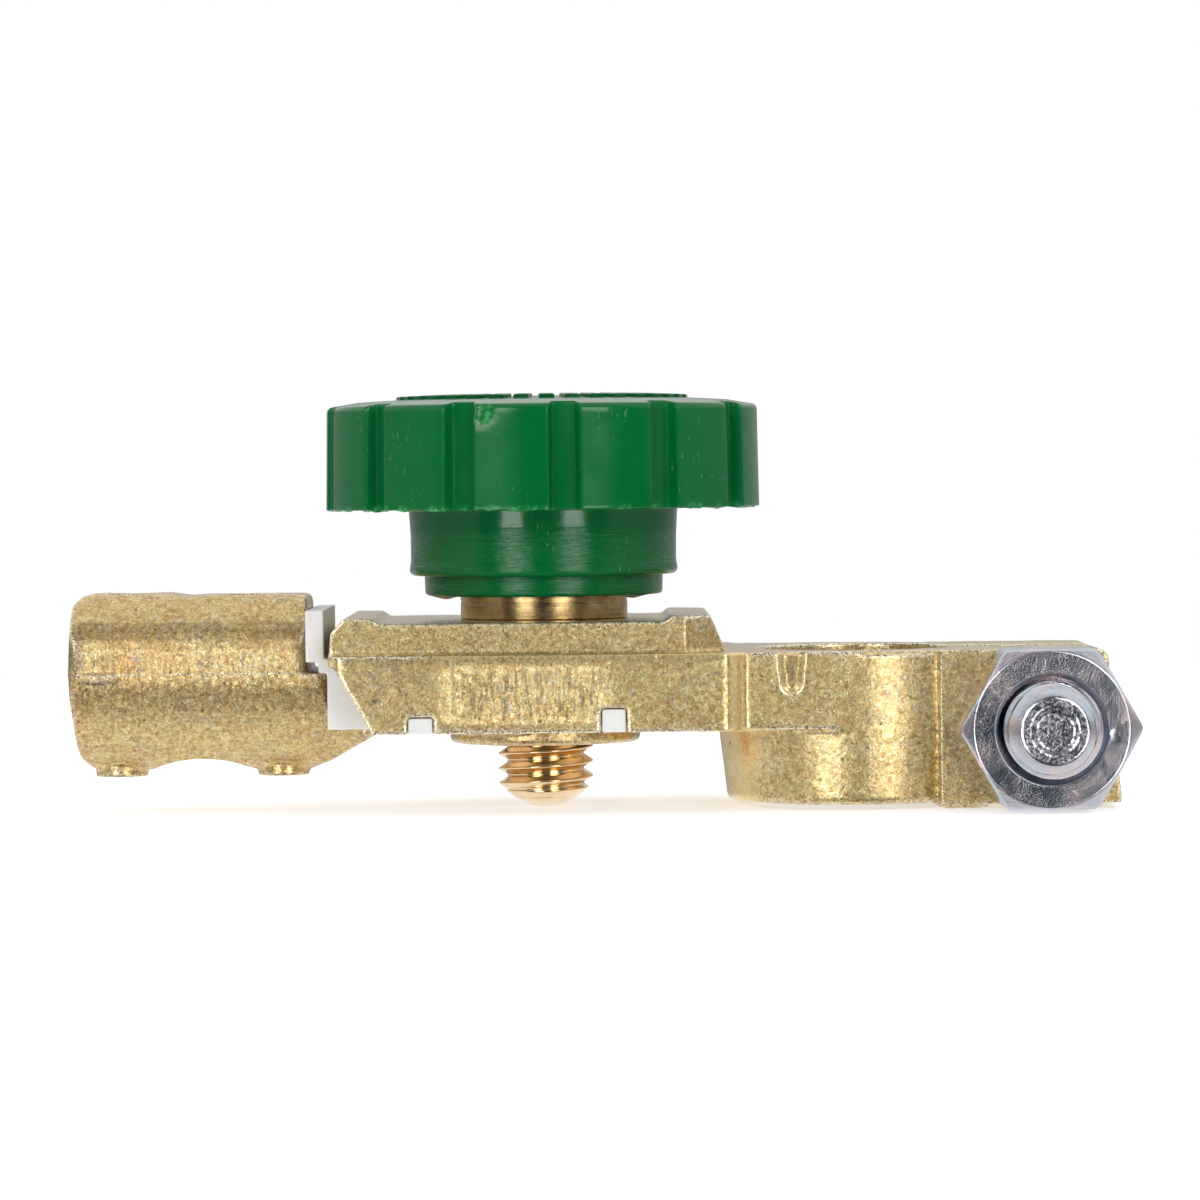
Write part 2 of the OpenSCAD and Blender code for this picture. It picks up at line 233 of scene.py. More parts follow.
def node(tree, kind, **settings):
    """A node of the given kind. Settings name its properties, or its inputs by number or name."""
    made = tree.nodes.new(kind)
    for key, value in settings.items():
        if hasattr(made, key):
            setattr(made, key, value)
        else:
            made.inputs[key.replace("_", " ")].default_value = value
    return made


def math_node(tree, operation, a, b=None, clamp=False):
    """A math node fed by sockets or numbers; its result socket is given back."""
    made = tree.nodes.new("ShaderNodeMath")
    made.operation, made.use_clamp = operation, clamp
    for value, socket in zip([a, b], made.inputs):
        if isinstance(value, (int, float)):
            socket.default_value = value
        elif value is not None:
            tree.links.new(value, socket)
    return made.outputs[0]


def ramp_node(tree, value, stops):
    """A colour ramp fed by a socket. Stops are (place, colour), with a number for a grey."""
    made = tree.nodes.new("ShaderNodeValToRGB")
    elements = made.color_ramp.elements
    while len(elements) < len(stops):
        elements.new(0.5)
    for element, (place, colour) in zip(elements, stops):
        element.position = place
        element.color = (colour,) * 3 + (1,) if isinstance(colour, (int, float)) else (*colour, 1)
    tree.links.new(value, made.inputs[0])
    return made.outputs[0]


def mix_colour(tree, fac, a, b, blend="MIX"):
    """A colour mix. The factor is a socket or a number; a and b are sockets or colours."""
    made = tree.nodes.new("ShaderNodeMix")
    made.data_type, made.blend_type = "RGBA", blend
    for value, socket in zip([fac, a, b], [made.inputs[0], made.inputs[6], made.inputs[7]]):
        if isinstance(value, (int, float)):
            socket.default_value = value
        elif isinstance(value, tuple):
            socket.default_value = (*value, 1)
        else:
            tree.links.new(value, socket)
    return made.outputs[2]


def srgb(red, green, blue):
    """A colour as a paint chart names it, 0 to 255, made linear: a power of 2.4 but for the
    darkest values, which are divided by 12.92."""
    values = np.array([red, green, blue]) / 255
    linear = np.where(values <= 0.04045, values / 12.92, ((values + 0.055) / 1.055) ** 2.4)
    return tuple(float(v) for v in linear)

# %% [markdown]
# ## Four effects
# Each effect is a node group that puts out one mask between 0 and 1. The mask then drives
# colour, roughness or bump height inside each material, where the shader itself stays. Noise
# about its middle value gives the mottle, its level line the veins, and noise drawn out along Z
# the strokes. Pits are the middles of scattered cells.

# %% Effect groups
def object_point(tree, stretch=(1, 1, 1)):
    """Object coordinates, scaled along each axis, so that a pattern can be drawn out."""
    coords = tree.nodes.new("ShaderNodeTexCoord")
    mapping = tree.nodes.new("ShaderNodeMapping")
    mapping.inputs["Scale"].default_value = stretch
    tree.links.new(coords.outputs["Object"], mapping.inputs["Vector"])
    return mapping.outputs[0]


def make_mottle():
    """Mottle: (noise - 0.5) x sharpness + 0.5, with features of the given size in mm."""
    group, inside, outside = new_group("mottle", {"Size": 0.5, "Sharpness": 1.0})
    noise = node(group, "ShaderNodeTexNoise", Detail=6.0, Roughness=0.62)
    group.links.new(object_point(group), noise.inputs["Vector"])
    scale = math_node(group, "DIVIDE", 1000.0, inside.outputs["Size"])
    group.links.new(scale, noise.inputs["Scale"])
    centred = math_node(group, "SUBTRACT", noise.outputs[0], 0.5)
    sharpened = math_node(group, "MULTIPLY", centred, inside.outputs["Sharpness"])
    result = math_node(group, "ADD", sharpened, 0.5, clamp=True)
    group.links.new(result, outside.inputs["Mask"])
    return group


def wandered(tree, point, wander, amount):
    """The point moved by a wandering colour, times an amount in metres."""
    made = tree.nodes.new("ShaderNodeVectorMath")
    made.operation = "MULTIPLY_ADD"
    tree.links.new(wander, made.inputs[0])
    made.inputs[1].default_value = (amount,) * 3
    tree.links.new(point, made.inputs[2])
    return made.outputs[0]


def make_pits():
    """Pits: (amount - distance to the nearest cell's middle) x 14, kept between 0 and 1. The
    cells are the given spacing in millimetres apart."""
    group, inside, outside = new_group("pits", {"Spacing": 2.0, "Amount": 0.1})
    cells = node(group, "ShaderNodeTexVoronoi", Randomness=1.0)
    warp = node(group, "ShaderNodeTexNoise", Scale=1800.0, Detail=2.0)
    group.links.new(object_point(group), warp.inputs["Vector"])
    offset = wandered(group, object_point(group), warp.outputs["Color"], 0.6 * MM)
    group.links.new(offset, cells.inputs["Vector"])
    group.links.new(math_node(group, "DIVIDE", 1000.0, inside.outputs["Spacing"]),
                    cells.inputs["Scale"])
    near = math_node(group, "SUBTRACT", inside.outputs["Amount"], cells.outputs["Distance"])
    result = math_node(group, "MULTIPLY", near, 14.0, clamp=True)
    group.links.new(result, outside.inputs["Mask"])
    return group


def make_veins():
    """Veins: 1 - |noise - 0.5| / width, so thin crooked lines where noise passes its middle."""
    group, inside, outside = new_group("veins", {"Size": 1.0, "Width": 0.03})
    noise = node(group, "ShaderNodeTexNoise", Detail=3.0, Roughness=0.6)
    group.links.new(object_point(group), noise.inputs["Vector"])
    group.links.new(math_node(group, "DIVIDE", 1000.0, inside.outputs["Size"]),
                    noise.inputs["Scale"])
    away = math_node(group, "ABSOLUTE", math_node(group, "SUBTRACT", noise.outputs[0], 0.5))
    share = math_node(group, "DIVIDE", away, inside.outputs["Width"])
    result = math_node(group, "SUBTRACT", 1.0, share, clamp=True)
    group.links.new(result, outside.inputs["Mask"])
    return group


def make_strokes():
    """Strokes: noise of the given width in millimetres, drawn out eight times along Z, 0 to 1."""
    group, inside, outside = new_group("strokes", {"Width": 0.3, "Sharpness": 3.0})
    noise = node(group, "ShaderNodeTexNoise", Detail=3.0, Roughness=0.6)
    group.links.new(object_point(group, (1, 1, 0.12)), noise.inputs["Vector"])
    group.links.new(math_node(group, "DIVIDE", 1000.0, inside.outputs["Width"]),
                    noise.inputs["Scale"])
    centred = math_node(group, "SUBTRACT", noise.outputs[0], 0.5)
    sharpened = math_node(group, "MULTIPLY", centred, inside.outputs["Sharpness"])
    group.links.new(math_node(group, "ADD", sharpened, 0.5, clamp=True), outside.inputs["Mask"])
    return group


MOTTLE = make_mottle()
PITS = make_pits()
VEINS = make_veins()
STROKES = make_strokes()
print("effects:", [group.name for group in (MOTTLE, PITS, VEINS, STROKES)])


def use(tree, group, **values):
    """Places a group in a material with its own values, and gives back its mask."""
    made = tree.nodes.new("ShaderNodeGroup")
    made.node_tree = group
    for key, value in values.items():
        made.inputs[key].default_value = value
    return made.outputs["Mask"]


def new_material(name):
    """A material with only a Principled shader; its tree and shader are given back too."""
    material = bpy.data.materials.new(name)
    material.use_nodes = True
    tree = material.node_tree
    shader = tree.nodes["Principled BSDF"]
    return material, tree, shader


def bump(tree, shader, height, distance, strength=1.0, after=None):
    """Feeds a height mask to the shader's normal. Distance is in millimetres."""
    made = node(tree, "ShaderNodeBump", Strength=strength, Distance=distance * MM)
    tree.links.new(height, made.inputs["Height"])
    if after is not None:
        tree.links.new(after, made.inputs["Normal"])
    tree.links.new(made.outputs[0], shader.inputs["Normal"])
    return made.outputs[0]

# %% [markdown]
# ## The cast brass finish
# A die casting is never one colour. Its skin is tan where zinc oxide lies on it and yellow where
# the alloy shows, with brown and blue-grey specks, dark pits and a fine crystalline sparkle.
# Layers of noise mix those colours, and another lets Metallic wander, so that bare metal shines
# between dull grains of oxide. Four attributes that the castings carry say where the skin is
# "smooth" and lighter, partly polished and partly a painted sheen, where it has "strokes", where
# real dirt and painted shade darken it, and where an edge has a "rim", a painted highlight of
# bright specks. A single flat colour with one roughness would be far shorter, but it looks like paint.

# %% Cast brass
def attribute(tree, name):
    """A float that the mesh carries at each point, as a socket."""
    return node(tree, "ShaderNodeAttribute", attribute_name=name).outputs["Fac"]


def times(tree, a, b):
    """The product of two masks."""
    return math_node(tree, "MULTIPLY", a, b)


def make_cast_brass(name, warmth, edge_highlight_share):
    """Cast brass, from the skin's colour outwards: tan, lighter on smooth bands, partly as a painted
    sheen, warm clouds, brown stains, dark veins, grey specks, shade in the grain, pits, strokes,
    real dirt and painted shade, and bright rims on the edges, a painted highlight. Warmth is the
    share of orange, and the last number that of the painted rims."""
    material, tree, shader = new_material(name)
    smooth = attribute(tree, "smooth")
    grainy = math_node(tree, "SUBTRACT", 1.0, times(tree, smooth, 0.85))
    broad = use(tree, MOTTLE, Size=4.0, Sharpness=2.6)
    fine = use(tree, MOTTLE, Size=0.45, Sharpness=3.0)
    grit = use(tree, MOTTLE, Size=0.18, Sharpness=3.4)
    tan = ramp_node(tree, fine, [(0.05, srgb(194, 168, 108)), (0.4, srgb(222, 202, 140)),
                                 (0.65, srgb(234, 216, 154)), (0.95, srgb(250, 238, 188))])
    # Smooth bands are lighter: partly polished metal, and partly a painted sheen under the ledge and a
    # painted highlight on the flash lump.
    polished_and_sheen = mix_colour(tree, times(tree, smooth, 0.8), tan, srgb(244, 224, 166))
    warm = mix_colour(tree, ramp_node(tree, broad, [(0.3, warmth * 0.4), (0.85, warmth)]), polished_and_sheen,
                      srgb(218, 166, 104))
    brown = ramp_node(tree, use(tree, MOTTLE, Size=0.5, Sharpness=4.0), [(0.6, 0.0), (1.0, 0.5)])
    stained = mix_colour(tree, times(tree, brown, grainy), warm, srgb(170, 114, 62))
    dark = times(tree, use(tree, VEINS, Size=0.9, Width=0.024),
                 ramp_node(tree, use(tree, MOTTLE, Size=1.5, Sharpness=4.0),
                           [(0.45, 0.0), (0.75, 0.7)]))
    veined = mix_colour(tree, times(tree, dark, grainy), stained, srgb(104, 94, 62))
    grey = times(tree, ramp_node(tree, use(tree, MOTTLE, Size=0.26, Sharpness=6.0),
                                 [(0.75, 0.0), (1.0, 0.5)]),
                 ramp_node(tree, use(tree, MOTTLE, Size=2.4, Sharpness=4.0),
                           [(0.4, 0.15), (0.8, 1.0)]))
    specked = mix_colour(tree, times(tree, grey, grainy), veined, srgb(160, 166, 178))
    shaded = mix_colour(tree, grainy, specked, ramp_node(tree, grit, [(0.2, 0.7), (0.75, 1.0)]),
                        blend="MULTIPLY")
    pits = use(tree, PITS, Spacing=2.3, Amount=0.09)
    pitted = mix_colour(tree, times(tree, pits, 0.75), shaded, srgb(70, 64, 44))
    lines = use(tree, STROKES, Width=0.32)
    struck = mix_colour(tree, attribute(tree, "strokes"), pitted,
                        ramp_node(tree, lines, [(0.25, 0.6), (0.6, 1.0)]), blend="MULTIPLY")
    # The rim colour is a painted highlight: near-white specks with a few grey ones.
    rim = ramp_node(tree, grit, [(0.3, srgb(96, 96, 98)), (0.46, srgb(255, 246, 216))])
    # Dark grit where the mask of dirt and shade is high: real dirt in the pit and on the parting line,
    # a darker band on the post casting, painted shade at the upper corner of the terminal's rounded
    # end, and a painted shadow under its lump.
    dirtied_and_shaded = mix_colour(tree, times(tree, attribute(tree, "dirt_and_shade"), 0.8), struck,
                       ramp_node(tree, grit, [(0.35, srgb(60, 60, 56)), (0.7, srgb(150, 140, 118))]))
    # Last, the rims lay that painted highlight along the edges.
    edge_highlighted = mix_colour(tree, times(tree, attribute(tree, "rim"), edge_highlight_share), dirtied_and_shaded, rim)
    tree.links.new(edge_highlighted, shader.inputs["Base Color"])
    tree.links.new(ramp_node(tree, use(tree, MOTTLE, Size=0.3, Sharpness=3.0),
                             [(0.1, 0.5), (0.9, 0.85)]), shader.inputs["Metallic"])
    tree.links.new(ramp_node(tree, fine, [(0.1, 0.26), (0.9, 0.15)]), shader.inputs["Roughness"])
    gritty = bump(tree, shader, times(tree, grit, grainy), 0.006)
    grained = bump(tree, shader, times(tree, fine, grainy), 0.014, after=gritty)
    lined = bump(tree, shader, times(tree, lines, attribute(tree, "strokes")), 0.1, after=grained)
    bump(tree, shader, times(tree, pits, -1.0), 0.06, after=lined)
    return material


POST_BRASS = make_cast_brass("post_casting_brass", 0.3, 0.8)
CABLE_BRASS = make_cast_brass("cable_casting_brass", 0.55, 0.45)

# %% [markdown]
# ## The other finishes
# Turned brass is smooth, with fine rings left by the tool, so its noise is drawn out across the
# turning axis. The knob is a glossy green plastic with scuffs, torn pale edges and a streaked
# neck, the insulator a milky nylon that lets a little light through, and the bolt and nut are
# steel under bright zinc, which has bluish and pinkish clouds.

# %% Turned brass, plastics and steel
def ring_lines(tree, axis_scale, size):
    """Fine rings: noise drawn out across two axes, so that it varies along the turning axis."""
    noise = node(tree, "ShaderNodeTexNoise", Detail=4.0, Roughness=0.6, Scale=1000.0 / size)
    tree.links.new(object_point(tree, axis_scale), noise.inputs["Vector"])
    return noise.outputs[0]


def make_turned_brass(name, light, dark, roughness, line_depth):
    """Turned brass: clouds between a light and a dark colour, with fine dark rings."""
    material, tree, shader = new_material(name)
    rings = ring_lines(tree, (0.02, 0.02, 1), 0.16)
    stains = use(tree, MOTTLE, Size=1.4, Sharpness=2.6)
    colour = mix_colour(tree, stains, light, dark)
    lined = mix_colour(tree, ramp_node(tree, rings, [(0.58, 0.0), (0.7, 0.5)]), colour,
                       srgb(110, 84, 50))
    tree.links.new(lined, shader.inputs["Base Color"])
    shader.inputs["Metallic"].default_value = 1.0
    tree.links.new(ramp_node(tree, stains, [(0.2, roughness), (0.9, roughness + 0.1)]),
                   shader.inputs["Roughness"])
    bump(tree, shader, rings, line_depth)
    return material


def make_green_plastic():
    """Green plastic: faint clouds, dust, short scuffs in patches, and paler where it is torn."""
    material, tree, shader = new_material("green_plastic")
    cloud = use(tree, MOTTLE, Size=6.0, Sharpness=1.6)
    base = mix_colour(tree, cloud, srgb(0, 91, 42), srgb(0, 99, 49))
    dust = use(tree, PITS, Spacing=1.3, Amount=0.045)
    marks = ramp_node(tree, use(tree, STROKES, Width=0.24, Sharpness=4.0),
                      [(0.94, 0.0), (1.0, 0.5)])
    patches = times(tree, ramp_node(tree, use(tree, MOTTLE, Size=0.5, Sharpness=5.0),
                                    [(0.55, 0.0), (0.8, 1.0)]),
                    ramp_node(tree, use(tree, MOTTLE, Size=5.0, Sharpness=4.0),
                              [(0.6, 0.0), (0.8, 1.0)]))
    dotted = times(tree, marks, patches)
    dusty = mix_colour(tree, times(tree, dust, 0.6), base, srgb(120, 170, 130))
    marked = mix_colour(tree, dotted, dusty, srgb(96, 160, 122))
    torn = times(tree, attribute(tree, "torn"),
                 ramp_node(tree, use(tree, MOTTLE, Size=0.4, Sharpness=4.0),
                           [(0.35, 0.15), (0.8, 1.0)]))
    colour = mix_colour(tree, torn, marked, srgb(70, 160, 96))
    tree.links.new(colour, shader.inputs["Base Color"])
    streaks = ring_lines(tree, (0.1, 0.1, 1), 0.35)
    shader.inputs["Specular IOR Level"].default_value = 0.3
    gloss = ramp_node(tree, cloud, [(0.2, 0.12), (0.9, 0.2)])
    polished = math_node(tree, "SUBTRACT", 1.0, times(tree, attribute(tree, "streaked"), 0.5))
    tree.links.new(times(tree, gloss, polished), shader.inputs["Roughness"])
    streaky = bump(tree, shader, times(tree, streaks, attribute(tree, "streaked")), 0.12)
    wavy = bump(tree, shader, use(tree, MOTTLE, Size=4.0, Sharpness=1.0), 0.03, after=streaky)
    bump(tree, shader, times(tree, dotted, -1.0), 0.05, after=wavy)
    return material


def make_white_nylon():
    """White nylon: two close whites, a dull shine, and light that spreads a millimetre inside."""
    material, tree, shader = new_material("white_nylon")
    cloud = use(tree, MOTTLE, Size=2.5, Sharpness=1.4)
    colour = mix_colour(tree, cloud, srgb(222, 222, 222), srgb(232, 231, 229))
    tree.links.new(colour, shader.inputs["Base Color"])
    shader.inputs["Roughness"].default_value = 0.42
    shader.inputs["Subsurface Weight"].default_value = 0.25
    shader.inputs["Subsurface Radius"].default_value = (MM, MM, MM)
    bump(tree, shader, use(tree, STROKES, Width=0.5, Sharpness=2.0), 0.03)
    return material


def make_zinc_steel():
    """Zinc-plated steel: bluish and pinkish clouds with pits, and a sheared grey grain where the
    "rough" attribute is 1."""
    material, tree, shader = new_material("zinc_steel")
    cloud = use(tree, MOTTLE, Size=2.2, Sharpness=2.4)
    pits = use(tree, PITS, Spacing=0.9, Amount=0.1)
    cool = mix_colour(tree, cloud, srgb(178, 196, 212), srgb(224, 208, 208))
    pitted = mix_colour(tree, times(tree, pits, 0.5), cool, srgb(120, 124, 130))
    sheared = ramp_node(tree, use(tree, MOTTLE, Size=0.3, Sharpness=3.5),
                        [(0.2, srgb(92, 96, 106)), (0.8, srgb(196, 196, 200))])
    colour = mix_colour(tree, attribute(tree, "rough"), pitted, sheared)
    tree.links.new(colour, shader.inputs["Base Color"])
    shader.inputs["Metallic"].default_value = 1.0
    tree.links.new(ramp_node(tree, cloud, [(0.2, 0.16), (0.85, 0.28)]), shader.inputs["Roughness"])
    rough = times(tree, use(tree, MOTTLE, Size=0.3, Sharpness=3.0), attribute(tree, "rough"))
    sheared_end = bump(tree, shader, rough, 0.009)
    wavy = bump(tree, shader, use(tree, MOTTLE, Size=0.8, Sharpness=1.6), 0.01, after=sheared_end)
    bump(tree, shader, use(tree, MOTTLE, Size=0.2, Sharpness=2.4), 0.0045, after=wavy)
    return material


STUD_BRASS = make_turned_brass("stud_brass", srgb(248, 220, 178), srgb(236, 202, 156),
                               roughness=0.15, line_depth=0.005)
COLLAR_BRASS = make_turned_brass("collar_brass", srgb(196, 170, 122), srgb(158, 132, 88),
                                 roughness=0.2, line_depth=0.014)
GREEN_PLASTIC = make_green_plastic()
WHITE_NYLON = make_white_nylon()
ZINC_STEEL = make_zinc_steel()
print("finishes:", [material.name for material in bpy.data.materials])

# %% [markdown]
# ## Castings from the CAD solids
# A casting's shape is right in the CAD model, but its edges are razor sharp and its faces are
# perfect. A bevel would round only the edges, and it fails where many small faces meet. Both
# castings and the moulding are therefore copied, meshed again on a fine even grid, and smoothed,
# which rounds every edge by about the size of a grid cell, as a die does. Noise then moves the
# skin a few hundredths of a millimetre inwards, and at the end the flat stretches, which need
# only few points, are thinned.

# %% Casting helper
def mesh_arrays(mesh):
    """A mesh's points, normals and edges as arrays."""
    points = np.empty(len(mesh.vertices) * 3, np.float32)
    mesh.vertices.foreach_get("co", points)
    normals = np.empty(len(mesh.vertices) * 3, np.float32)
    mesh.vertices.foreach_get("normal", normals)
    edges = np.empty(len(mesh.edges) * 2, np.int32)
    mesh.edges.foreach_get("vertices", edges)
    return points.reshape(-1, 3).astype(float), normals.reshape(-1, 3).astype(float), \
        edges.reshape(-1, 2)


def neighbour_mean(values, edges):
    """At each point, the mean of a value over the points that share an edge with it."""
    total = np.zeros_like(values)
    count = np.zeros(len(values))
    for a, b in [(0, 1), (1, 0)]:
        np.add.at(total, edges[:, a], values[edges[:, b]])
        np.add.at(count, edges[:, a], 1)
    return total / (count[:, None] if values.ndim == 2 else count)


def add_attribute(mesh, name, values):
    """Stores one float for each point of a mesh, for its material to read."""
    made = mesh.attributes.new(name, "FLOAT", "POINT")
    made.data.foreach_set("value", values.astype(np.float32))


def applied(piece, kind, **settings):
    """Adds one modifier to a piece and replaces its mesh by the result."""
    modifier = piece.modifiers.new(kind.lower(), kind)
    for key, value in settings.items():
        setattr(modifier, key, value)
    evaluated = piece.evaluated_get(bpy.context.evaluated_depsgraph_get())
    result = bpy.data.meshes.new_from_object(evaluated)
    piece.modifiers.clear()
    piece.data = result
    return result


def remade(node_name, piece_name, voxel, passes, roughness, seed, relief, most=185000):
    """A copy of a CAD node on a fine even grid, smoothed, roughened, and then thinned.

    Smoothing moves each point part of the way to its neighbours' mean, then a little back, so
    that edges round without the whole shape shrinking. A point that still stands out beyond
    that mean is on an edge, and gets a rim, a painted highlight of bright specks along the edge.
    Relief gives the extra lift and the masks at each point, and the points are kept within the
    node's own box. Thinning takes points away where the skin is nearly flat, until at most the
    given number of triangles is left. Voxel and roughness are in millimetres.
    """
    piece = bpy.data.objects.new(piece_name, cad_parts[node_name].data.copy())
    bpy.context.collection.objects.link(piece)
    applied(piece, "WELD", merge_threshold=1e-6)
    fine = applied(piece, "REMESH", mode="VOXEL", voxel_size=voxel * MM)
    points, normals, edges = mesh_arrays(fine)
    for _ in range(passes):
        points += 0.6 * (neighbour_mean(points, edges) - points)
        points -= 0.25 * (neighbour_mean(points, edges) - points)
    fine.vertices.foreach_set("co", points.astype(np.float32).reshape(-1))
    fine.update()
    points, normals, edges = mesh_arrays(fine)
    bulge = np.einsum("ij,ij->i", points - neighbour_mean(points, edges), normals)
    edge = smooth_step((bulge / (voxel * MM) - 0.03) / 0.05)
    edge = np.maximum(edge, 1.3 * neighbour_mean(edge, edges))
    lift, masks = relief(points / MM)
    lift += roughness * (0.6 * lattice_noise(points / MM, 1.7, seed)
                         + 0.4 * lattice_noise(points / MM, 0.7, seed + 1) - 0.8)
    points = np.clip(points + normals * (lift * MM)[:, None], *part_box(node_name))
    fine.vertices.foreach_set("co", points.astype(np.float32).reshape(-1))
    none = np.zeros(len(points))
    smooth = masks.get("smooth", none)
    # The rim: a painted highlight along edges away from smooth bands, joined by the relief's line mask,
    # which holds the parting line and the painted highlight on the flash lump.
    rim = np.clip(np.maximum(edge * (1 - smooth), masks.get("line", none)), 0, 1)
    add_attribute(fine, "rim", rim)
    add_attribute(fine, "smooth", smooth)
    for name in ["strokes", "dirt_and_shade"]:
        add_attribute(fine, name, masks.get(name, none))
    fine.update()
    triangles = 2 * len(fine.polygons)
    if triangles > most:
        fine = applied(piece, "DECIMATE", ratio=most / triangles)
    fine.shade_smooth()
    fine.materials.clear()
    print(piece_name, triangles, "triangles thinned to", min(triangles, most))
    return piece


def plain(points):
    """No extra relief and no masks."""
    return np.zeros(len(points)), {}


# %% [markdown]
# ## What the dies left on the castings
# Each casting has marks of its own: polished bands and corners, strokes on the block's faces, a
# deep pit, the line where the two halves of the die met, and a lump of flash on it. The same
# masks also paint light and shade: a sheen on the band under the ledge, a highlight on the lump,
# a shadow below it and shade on the terminal's rounded end. They could be sculpted, but here
# each one is a soft window or a bell curve in X, Y and Z, so that it keeps its place when the
# part's sizes change a little.

# %% Relief of the castings
def window(value, low, high, blur):
    """1 between low and high, and 0 outside, with edges blurred over the given width: the
    product of a rising and a falling S curve."""
    return smooth_step((value - low) / blur + 0.5) * smooth_step((high - value) / blur + 0.5)


def clamp_relief(points):
    """The post casting: smooth bands where the die was polished, strokes and one deep pit.

    The bands are under the ledge, in the corner where the plate meets the ring, down the ring's
    inner side, and inside the recess of the web. The band under the ledge is also painted lighter,
    as a sheen where its rounded edge catches light from above.
    """
    x, y, z = points.T
    side = np.abs(y)
    wander = lattice_noise(points, 2.0, 41)
    wavy = LEDGE_Z - 0.25 * smooth_step((-34.5 - x) / 1.5) + 0.04 * wander
    # Painted sheen: the smooth band under the ledge, which the material paints lighter.
    under = window(z, wavy - 0.6, wavy, 0.15) * (side > 12.3) * (x < -10.5)
    corner = window(x, -10.9, -9.3, 0.3) * (side > 8)
    ring_side = smooth_step((-7.4 + wander - x) / 2.0) * (z < 6.9) * (x > -12)
    in_web = window(x, -7.0, -4.4, 0.2) * (z > 9.2) * (side < 12)
    floor = in_web * window(side, 10.6, 11.25, 0.1) * (z < TOP_OF_WEB - 0.15)
    smooth = np.clip(under + corner + ring_side + 0.7 * in_web * (side > 10.6), 0, 1)
    strokes = window(x, -34, -21, 2) * window(z, 7.4, 11.6, 1.0) * (side > BLOCK_SIDE)
    pit = np.exp(-((x + 39.6 - 0.5 * (z - 9)) / 0.6) ** 2 - ((z - 9.0) / 0.26) ** 2) * (y < -BLOCK_SIDE)
    # A darker band at heights 6.9 to 7.9 mm beyond x = -4, broken by noise.
    foot = window(z, 6.9, 7.9, 0.5) * (x > -4) * smooth_step(lattice_noise(points, 0.9, 44))
    return 0.3 * floor - 0.02 * under - 0.1 * pit, {
        "smooth": smooth, "strokes": strokes, "dirt_and_shade": np.clip(1.4 * pit + 0.5 * foot, 0, 1)}


def terminal_relief(points):
    """The cable casting: a fine line where the die parted, and a lump of flash near its end. The lump
    carries a painted highlight and a painted shadow below it, and painted shade darkens the upper
    corner of the barrel's rounded end.
    """
    x, y, z = points.T
    broken = smooth_step(0.8 + lattice_noise(points, 0.8, 43))
    line = window(z, PARTING_Z - 0.08, PARTING_Z + 0.08, 0.1) * (np.abs(y) > 3) * broken
    middle = PARTING_Z - 0.2 + 0.15 * lattice_noise(points, 0.9, 42)
    lump = np.exp(-((x + 62.8) / 1.5) ** 4 - ((z - middle) / 0.26) ** 2) * (y < -5)
    # Painted shadow: a thin dark line just below the lump.
    shadow = np.exp(-((x + 62.8) / 1.4) ** 4 - ((z - middle + 0.5) / 0.16) ** 2) * (y < -5)
    # Painted shade on the upper corner of the barrel's rounded end, on the near side.
    corner = smooth_step((-63.7 - x) / 0.8) * window(z, 11.6, 14.4, 1.2) * (y < -2)
    strokes = 0.6 * window(z, 7.6, 13.2, 0.8) * (np.abs(y) > 5)
    # The line mask carries the parting line and the painted highlight on the lump; the mask of dirt and
    # shade carries the painted shade, the painted shadow and dark grit on the parting line.
    return 0.04 * line + 0.4 * lump, {
        "smooth": lump, "strokes": strokes, "line": np.maximum(1.4 * line, 1.6 * lump * broken),
        "dirt_and_shade": np.clip(0.7 * corner + 1.1 * shadow + 0.6 * line, 0, 1)}


# %% [markdown]
# ## Both castings and the moulding
# One helper gives every piece below its material and the body that it rides on, and hides the CAD
# nodes that it stands for. The castings get the finest grids, because their skin is seen from
# closest by.

# %% Post clamp, cable terminal and insulator
def finish_piece(piece, material, body, slot, *replaced):
    """Gives a piece its material and its body, and hides the CAD nodes that it stands for. The slot is
    not used.
    """
    piece.data.materials.append(material)
    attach(piece, body)
    if replaced:
        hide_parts(*replaced)


post_clamp = remade("post_clamp", "post_clamp_casting", 0.16, 2, 0.025, 11, clamp_relief)
finish_piece(post_clamp, POST_BRASS, "clamp", "cast_brass", "post_clamp")
cable_terminal = remade("cable_terminal", "cable_terminal_casting", 0.15, 3, 0.035, 12,
                        terminal_relief)
finish_piece(cable_terminal, CABLE_BRASS, "clamp", "cast_brass", "cable_terminal")
insulator = remade("insulator", "insulator_moulding", 0.13, 1, 0.01, 13, plain, 120000)
finish_piece(insulator, WHITE_NYLON, "clamp", "white_nylon", "insulator")

# %% [markdown]
# ## Threaded stud and contact collar
# The stud is turned brass with a domed tip. Its rows follow the outline, and on the threaded
# stretch the radius is the thread formula, so the helix is true and screws in step with the
# joint. The dome cuts the thread off where its own radius is smaller. The collar is a plain
# ring with one fine groove, so a revolved outline is all that it needs.

# %% Stud and collar
def at_stud(grid):
    """A grid about the Z axis, moved to the stud's axis."""
    return grid + np.array([STUD_X, 0, 0])


